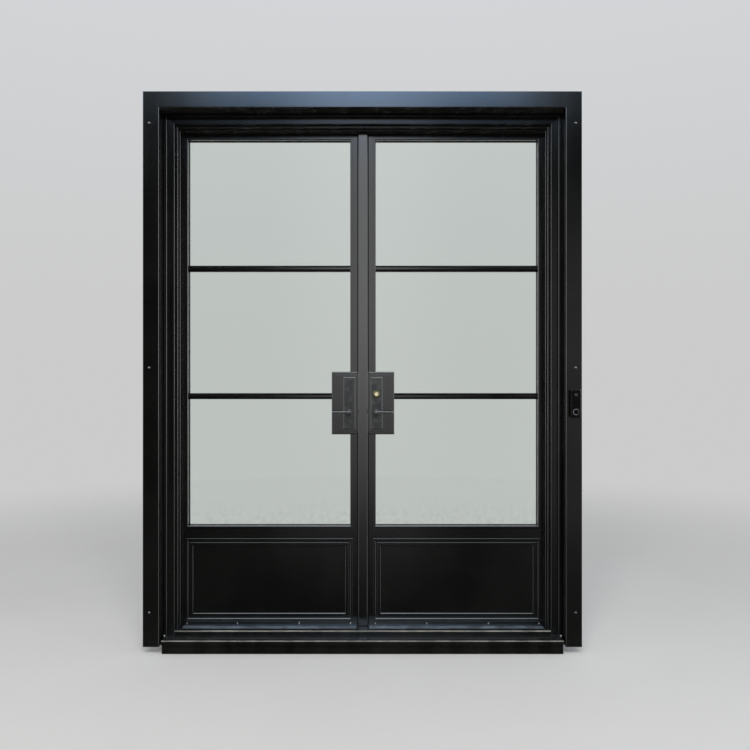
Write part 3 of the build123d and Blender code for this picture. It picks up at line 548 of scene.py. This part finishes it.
def screwTree():
    # domed heads with a cross recess, one on each point, turned at random about its axis
    tree = Growth("screwHeads", {
        "Head Radius": "Float", "Head Rise": "Float", "Recess Span": "Float",
        "Recess Width": "Float", "Recess Depth": "Float", "Facing": "Vector", "Seed": "Int",
    })
    radius, rise = tree.given("Head Radius"), tree.given("Head Rise")
    grid = {"Segments": screwForm["segments"], "Rings": screwForm["rings"], "Radius": 1.0}
    ball = tree.add("GeometryNodeMeshUVSphere", grid)
    x, y, z = tree.split(tree.add("GeometryNodeInputPosition"))
    lifted = z.atLeast(screwForm["foot"]) * rise
    domed = tree.add("ShaderNodeCombineXYZ", {0: x * radius, 1: y * radius, 2: lifted})
    head = tree.add("GeometryNodeSetPosition", {"Geometry": ball, "Position": domed})
    span, width = tree.given("Recess Span"), tree.given("Recess Width")
    depth = tree.given("Recess Depth")
    lift = tree.add("ShaderNodeCombineXYZ", {2: rise})
    arms = []
    for across, along in ((span, width), (width, span)):
        size = tree.add("ShaderNodeCombineXYZ", {0: across, 1: along, 2: depth * 2.0})
        arm = tree.add("GeometryNodeMeshCube", {"Size": size})
        arms.append(tree.add("GeometryNodeTransform", {"Geometry": arm, "Translation": lift}))
    cut = tree.add("GeometryNodeMeshBoolean", {0: head, 1: arms}, operation="DIFFERENCE")
    turned = tree.add(
        "FunctionNodeAlignRotationToVector", {"Vector": tree.given("Facing")}, axis="Z"
    )
    placed = tree.add("GeometryNodeInstanceOnPoints", {
        "Points": tree.add("GeometryNodeMeshToPoints", {"Mesh": tree.given("Geometry")}),
        "Instance": cut, "Rotation": turned,
    })
    chance = tree.add(
        "FunctionNodeRandomValue", {2: 0.0, 3: math.pi, "Seed": tree.given("Seed")}, out=1
    )
    spin = tree.add("ShaderNodeCombineXYZ", {2: chance})
    tree.deliver(tree.add("GeometryNodeRotateInstances", {"Instances": placed, "Rotation": spin}))
    return tree


print("growing the screws")
screws = screwTree()
casingScrews = {
    "columns": (-991.6, 991.6), "heights": (196.0, 1335.0, 2474.0), "face": -200.0,
    "headRadius": 5.5, "headRise": 2.4,
}
dripScrews = {
    "columns": (61.0, 311.0, 612.0, 859.0), "height": 90.9, "face": -27.5,
    "headRadius": 2.4, "headRise": 1.3,
}
faceScrews = {"heights": (1045.0, 1285.0), "face": 2.0, "headRadius": 3.4, "headRise": 0.5}
hingeScrews = {
    "hinges": (262.0, 948.0, 1634.0, 2320.0), "rows": (-48.0, -16.0, 16.0, 48.0),
    "leafColumn": 898.0, "frameColumn": 933.0, "face": 28.0, "headRadius": 4.2, "headRise": 1.1,
}


def setScrews(name, body, slot, sizes, places, facing, seed, replaced=(), finish=None):
    radius, rise = sizes["headRadius"] * mm, sizes["headRise"] * mm
    return screws.grow(name, points(places), body, slot, {
        "Head Radius": radius, "Head Rise": rise, "Facing": facing, "Seed": seed,
        "Recess Span": radius * screwForm["recessSpan"],
        "Recess Width": radius * screwForm["recessWidth"],
        "Recess Depth": rise * screwForm["recessDepth"],
    }, replaced, finish)


outward, inward = (0.0, -1.0, 0.0), (0.0, 1.0, 0.0)
setScrews("casingScrewHeads", "frame", "bare_steel", casingScrews, [
    (x, casingScrews["face"], z) for x in casingScrews["columns"] for z in casingScrews["heights"]
], outward, 11, ["casing_screws"], casingScrewFinish)
hingeRows = [z + row for z in hingeScrews["hinges"] for row in hingeScrews["rows"]]
setScrews("frameHingeScrews", "frame", "bare_steel", hingeScrews, [
    (x * hingeScrews["frameColumn"], hingeScrews["face"], z) for x in (-1, 1) for z in hingeRows
], inward, 12)
for side, sign, seed in (("left", -1, 20), ("right", 1, 30)):
    leaf = side + "_leaf"
    setScrews(side + "DripScrews", leaf, "bare_steel", dripScrews, [
        (sign * x, dripScrews["face"], dripScrews["height"]) for x in dripScrews["columns"]
    ], outward, seed)
    setScrews(side + "FaceScrews", leaf, "bare_steel", faceScrews, [
        (sign * faceScrews["face"], 0.0, z) for z in faceScrews["heights"]
    ], (-sign, 0.0, 0.0), seed + 1)
    setScrews(side + "HingeScrews", leaf, "bare_steel", hingeScrews, [
        (sign * hingeScrews["leafColumn"], hingeScrews["face"], z) for z in hingeRows
    ], inward, seed + 2)


def ringed(bm, rings):
    # skins rings of points and caps both ends
    loops = [[bm.verts.new(p) for p in ring] for ring in rings]
    count = len(loops[0])
    for low, high in zip(loops, loops[1:]):
        for n in range(count):
            after = (n + 1) % count
            bm.faces.new((low[n], low[after], high[after], high[n]))
    bm.faces.new(loops[0][::-1])
    bm.faces.new(loops[-1])
    return bm


def turnedRings(centre, profile, along, steps):
    # rings about an axis that runs along y through centre, from (offset, radius) pairs
    cx, cy, cz = centre
    return [[
        (cx + r * math.cos(a), cy + along * offset, cz + r * math.sin(a))
        for a in (math.tau * n / steps for n in range(steps))
    ] for offset, r in profile]


def finishMesh(bm, name):
    bmesh.ops.remove_doubles(bm, verts=bm.verts, dist=1e-6)
    bmesh.ops.recalc_face_normals(bm, faces=bm.faces)
    mesh = bpy.data.meshes.new(name)
    bm.to_mesh(mesh)
    bm.free()
    mesh.transform(((mm, 0, 0, 0), (0, mm, 0, 0), (0, 0, mm, 0), (0, 0, 0, 1)))
    return mesh


print("shaping the levers")
leverShape = {
    "axis": 66.0, "height": 1122.0, "plateFace": 36.0,
    "neck": ((0.2, 12.6), (1.2, 12.2), (3.5, 10.4), (8, 8.9), (15, 8.0), (26, 7.6), (37, 7.9)),
    "barNear": 70.0, "barFar": 82.0, "hubRadius": 8.0, "reach": 82.0,
    "hubHalf": 7.0, "tipHalf": 5.6, "tipRounding": 3.5, "corner": 3.4, "bow": 0.8,
    "endDepth": 0.55, "thinning": 0.06,  # shares of the bar's depth
    "steps": 26, "around": 28, "least": 0.02, "neckSteps": 40,
}


def leverBar(bm, side, face):
    s = leverShape
    middle = (s["barNear"] + s["barFar"]) / 2
    thick = (s["barFar"] - s["barNear"]) / 2
    rings = []
    for n in range(s["steps"] + 1):
        t = -math.cos(math.pi * n / s["steps"])  # closer together at the two ends
        along = t * (s["reach"] + s["hubRadius"]) / 2 + (s["reach"] - s["hubRadius"]) / 2
        share = (along + s["hubRadius"]) / (s["reach"] + s["hubRadius"])
        half = s["hubHalf"] + (s["tipHalf"] - s["hubHalf"]) * share
        fromEnd = min(along + s["hubRadius"], s["reach"] - along)
        rounding = s["hubHalf"] if share < 0.5 else s["tipRounding"]
        shrink = math.sqrt(max(0.0, 1 - max(0.0, 1 - fromEnd / rounding) ** 2))
        shrink = max(shrink, s["least"])
        deep = thick * (s["endDepth"] + (1 - s["endDepth"]) * shrink) * (1 - s["thinning"] * share)
        bow = s["bow"] * math.sin(math.pi * share)
        ring = []
        for k in range(s["around"]):
            a = math.tau * k / s["around"]
            c, d = math.cos(a), math.sin(a)
            wide = math.copysign(abs(c) ** (2 / s["corner"]), c) * deep
            tall = math.copysign(abs(d) ** (2 / s["corner"]), d) * half * shrink
            ring.append((side * (s["axis"] + along), face * (middle - bow + wide),
                         s["height"] + tall))
        rings.append(ring)
    ringed(bm, rings)


for name, side in (("left", -1), ("right", 1)):
    bm = bmesh.new()
    for face in (-1, 1):
        centre = (side * leverShape["axis"], face * leverShape["plateFace"], leverShape["height"])
        ringed(bm, turnedRings(centre, leverShape["neck"], face, leverShape["neckSteps"]))
        leverBar(bm, side, face)
    meshObject(name + "LeverHandles", finishMesh(bm, name + "Levers"), name + "_lever",
               "handle_black", [name + "_levers"], leverFinish, sharp=50)

print("pressing in the rubber lips beside the cover strip")
lipShape = {
    "width": 5.0, "rise": 2.0,
    "clear": 0.3,  # gap to the stile's face
    "ends": 4.0,  # how far short of the strip's ends the lips stop
    "steps": 5,
}


def coverLips():
    # quarter-round lips along both edges of the strip, left out at the lock boxes
    strip, lockBox, stile = (
        [[length / mm for length in corner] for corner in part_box("left_" + node)]
        for node in ("astragal", "lock_box", "lock_stile")
    )
    foot = stile[0][1] - lipShape["clear"]
    angles = [math.pi / 2 * n / lipShape["steps"] for n in range(lipShape["steps"] + 1)]
    below = strip[0][2] + lipShape["ends"], lockBox[0][2]
    above = lockBox[1][2], strip[1][2] - lipShape["ends"]
    bm = bmesh.new()
    for edge, out in ((strip[0][0], -1), (strip[1][0], 1)):
        profile = [(edge, foot)] + [
            (edge + out * lipShape["width"] * math.sin(a), foot - lipShape["rise"] * math.cos(a))
            for a in angles
        ]
        for ends in (below, above):
            ringed(bm, [[(x, y, z) for x, y in profile] for z in ends])
    return finishMesh(bm, "coverLips")


meshObject("coverStripLips", coverLips(), "left_leaf", "seal", finish=lipShadeFinish)

print("fitting the bell's lens")
lensShape = {
    "centre": (987.0, -224.0, 1209.0), "steps": 32,
    "bezel": ((-0.4, 8.6), (0.35, 8.6), (0.6, 8.2), (0.6, 7.4), (0.1, 6.9), (0.1, 6.0)),
    "dome": ((0.05, 6.2), (0.5, 5.7), (0.85, 4.4), (1.0, 2.6), (1.05, 0.6)),
}
for name, key, finish in (
    ("bellLensRing", "bezel", finishes["bell_plastic"]), ("bellLensDome", "dome", lensFinish)
):
    rings = turnedRings(lensShape["centre"], lensShape[key], -1, lensShape["steps"])
    bm = ringed(bmesh.new(), rings)
    meshObject(name, finishMesh(bm, name), "frame", "bell_plastic", finish=finish)

print("laying the floor and the light")
floorShape = {
    "radius": 14.0, "segments": 96, "depth": -0.0006,
    "plainTo": 1.6, "fadedBy": 6.5,  # distances from the middle
    "mirrored": 0.06,  # share that gloss paint shows of it
    "noise": (1.3, 4), "dim": (0.84, 0.835, 0.825), "pale": (0.90, 0.895, 0.89),
}
backdrop = {
    "horizon": (0.60, 0.60, 0.60), "top": (0.68, 0.70, 0.73),
    "lighting": 0.52,  # strength for the light that the sky throws
    "gloss": 0.6,  # level of all that gloss paint mirrors, which the next lines shape
    "ahead": 0.10, "ground": 0.12,
    "front": (-0.62, -0.93), "groundFrom": (0.02, -0.22), "topFrom": (0.0, 0.75),
    # a bright strip straight ahead, which the middle stiles mirror
    "gap": 4.3, "gapMiddle": -0.012, "gapWidth": (0.14, 0.02), "gapRise": (-0.30, 0.13),
    # a softer patch to its right
    "right": 0.75, "rightFrom": (0.10, 0.27), "rightFoot": (-0.30, -0.12), "rightTop": (0.28, 0.10),
    # both sides, for the edges that face them
    "leftSide": 7.5, "rightSide": 9.0, "sideFrom": (0.36, 0.62), "sideLoss": 0.45,
    # clear sky over the head, paler and then dimmer higher up and behind
    "sky": 8.0, "skyFoot": (0.326, 0.346), "skyEnds": (0.18, 0.245), "skyColour": (0.40, 0.63, 1.0),
    "haze": 14.0, "hazeFrom": (0.40, 0.50), "hazeColour": (0.84, 0.90, 0.96),
    "zenith": 0.22, "zenithFrom": (0.75, 0.95),
    "behind": 0.25, "behindFrom": (-0.2, 0.3),
}


def floorFinish():
    ground = Finish("paleFloor")
    x, y = ground.split(ground.place)[:2]
    away = (x * x + y * y) ** 0.5
    clouds = ground.noise(*floorShape["noise"])
    tone = ground.blend(clouds, floorShape["dim"], floorShape["pale"])
    plain = ground.add("ShaderNodeBsdfDiffuse", {"Color": tone})
    clear = ground.add("ShaderNodeBsdfTransparent")
    glossy = ground.add("ShaderNodeLightPath", out="Is Glossy Ray")
    faded = away.ramped(floorShape["plainTo"], floorShape["fadedBy"])
    faded = faded.atLeast(glossy * (1.0 - floorShape["mirrored"]))
    mixed = ground.add("ShaderNodeMixShader", {0: faded, 1: plain, 2: clear})
    ground.add("ShaderNodeOutputMaterial", {"Surface": mixed})
    return ground.material


bm = bmesh.new()
bmesh.ops.create_circle(
    bm, cap_ends=True, segments=floorShape["segments"], radius=floorShape["radius"]
)
bmesh.ops.translate(bm, verts=bm.verts, vec=(0, 0, floorShape["depth"]))
floorMesh = bpy.data.meshes.new("floor")
bm.to_mesh(floorMesh)
bm.free()
floorMesh.materials.append(floorFinish())
floor = bpy.data.objects.new("studioFloor", floorMesh)
bpy.context.scene.collection.objects.link(floor)

world = bpy.data.worlds.new("studio")
bpy.context.scene.world = world
world.use_nodes = True
sky = Tree(world.node_tree)
across, ahead, height = sky.split(sky.add("ShaderNodeTexCoord", out="Generated"))
path = sky.add("ShaderNodeLightPath").socket.node.outputs
seen = Wire(sky, path["Is Camera Ray"]).atLeast(Wire(sky, path["Is Transmission Ray"]))
mirrored = Wire(sky, path["Is Glossy Ray"]) * (1.0 - seen)
away = (across - backdrop["gapMiddle"]).magnitude()
front = ahead.ramped(*backdrop["front"])
below = height.ramped(*backdrop["groundFrom"])
plain = (1.0 - front * (1.0 - backdrop["ahead"])) * (1.0 - below * (1.0 - backdrop["ground"]))
gap = away.ramped(*backdrop["gapWidth"]) * height.ramped(*backdrop["gapRise"]) * front
right = across.ramped(*backdrop["rightFrom"]) * height.ramped(*backdrop["rightFoot"])
right = right * height.ramped(*backdrop["rightTop"]) * front
sides = (
    across.ramped(*backdrop["sideFrom"]) * backdrop["rightSide"]
    + (across * -1.0).ramped(*backdrop["sideFrom"]) * backdrop["leftSide"]
)
clearSky = height.ramped(*backdrop["skyFoot"]) * (1.0 - front * away.ramped(*backdrop["skyEnds"]))
haze = height.ramped(*backdrop["hazeFrom"])
level = haze * (backdrop["haze"] - backdrop["sky"]) + backdrop["sky"]
level = level * height.ramped(*backdrop["zenithFrom"], 1.0, backdrop["zenith"])
level = level * ahead.ramped(*backdrop["behindFrom"], 1.0, backdrop["behind"])
mirror = plain + gap * backdrop["gap"] + right * backdrop["right"]
mirror = mirror + sides * (1.0 - below * backdrop["sideLoss"]) + clearSky * level
lighting = (1.0 - seen) * (1.0 - mirrored) * backdrop["lighting"]
strength = seen + mirrored * mirror * backdrop["gloss"] + lighting
shade = sky.blend(height.ramped(*backdrop["topFrom"]), backdrop["horizon"], backdrop["top"])
mirroredSky = sky.blend(haze, backdrop["skyColour"], backdrop["hazeColour"])
shade = sky.blend(clearSky * mirrored, shade, mirroredSky)
sky.add("ShaderNodeOutputWorld", {
    "Surface": sky.add("ShaderNodeBackground", {"Color": shade, "Strength": strength})
})

softboxes = {
    "keyPanel": {"place": (0.1, -6.2, 5.95), "aim": (0.0, -0.2, 1.4), "size": (4.9, 2.7),
                 "glow": 8.0, "colour": (1.0, 0.985, 0.96), "mirrored": False},
    "leftFill": {"place": (-4.6, -3.6, 2.2), "aim": (-0.4, 0.0, 1.3), "size": (2.0, 3.0),
                 "glow": 1.2, "colour": (1.0, 0.95, 0.88), "mirrored": True},
    "rightFill": {"place": (4.6, -3.6, 2.2), "aim": (0.4, 0.0, 1.3), "size": (2.0, 3.0),
                  "glow": 1.6, "colour": (0.88, 0.95, 1.0), "mirrored": True},
}
for name, box in softboxes.items():
    lamp = bpy.data.lights.new(name, "AREA")
    lamp.shape = "RECTANGLE"
    lamp.size, lamp.size_y = box["size"]
    lamp.energy = box["glow"] * math.pi * lamp.size * lamp.size_y
    lamp.color = box["colour"]
    holder = bpy.data.objects.new(name, lamp)
    bpy.context.scene.collection.objects.link(holder)
    holder.location = box["place"]
    aim = Vector(box["aim"]) - Vector(box["place"])
    holder.rotation_euler = aim.to_track_quat("-Z", "Y").to_euler()
    holder.visible_camera = False
    holder.visible_transmission = False
    holder.visible_glossy = box["mirrored"]

print("placing the camera")
viewpoint = {"place": (0.0586, -3.7, 1.302), "lens": 36.13, "sensor": 36.0}
cameraData = bpy.data.cameras.new("photographView")
cameraData.lens = viewpoint["lens"]
cameraData.sensor_width = viewpoint["sensor"]
camera = bpy.data.objects.new("photographView", cameraData)
bpy.context.scene.collection.objects.link(camera)
camera.location = viewpoint["place"]
camera.rotation_euler = (math.radians(90), 0, 0)
bpy.context.scene.camera = camera
bpy.context.scene.view_settings.view_transform = "Standard"

print("done")
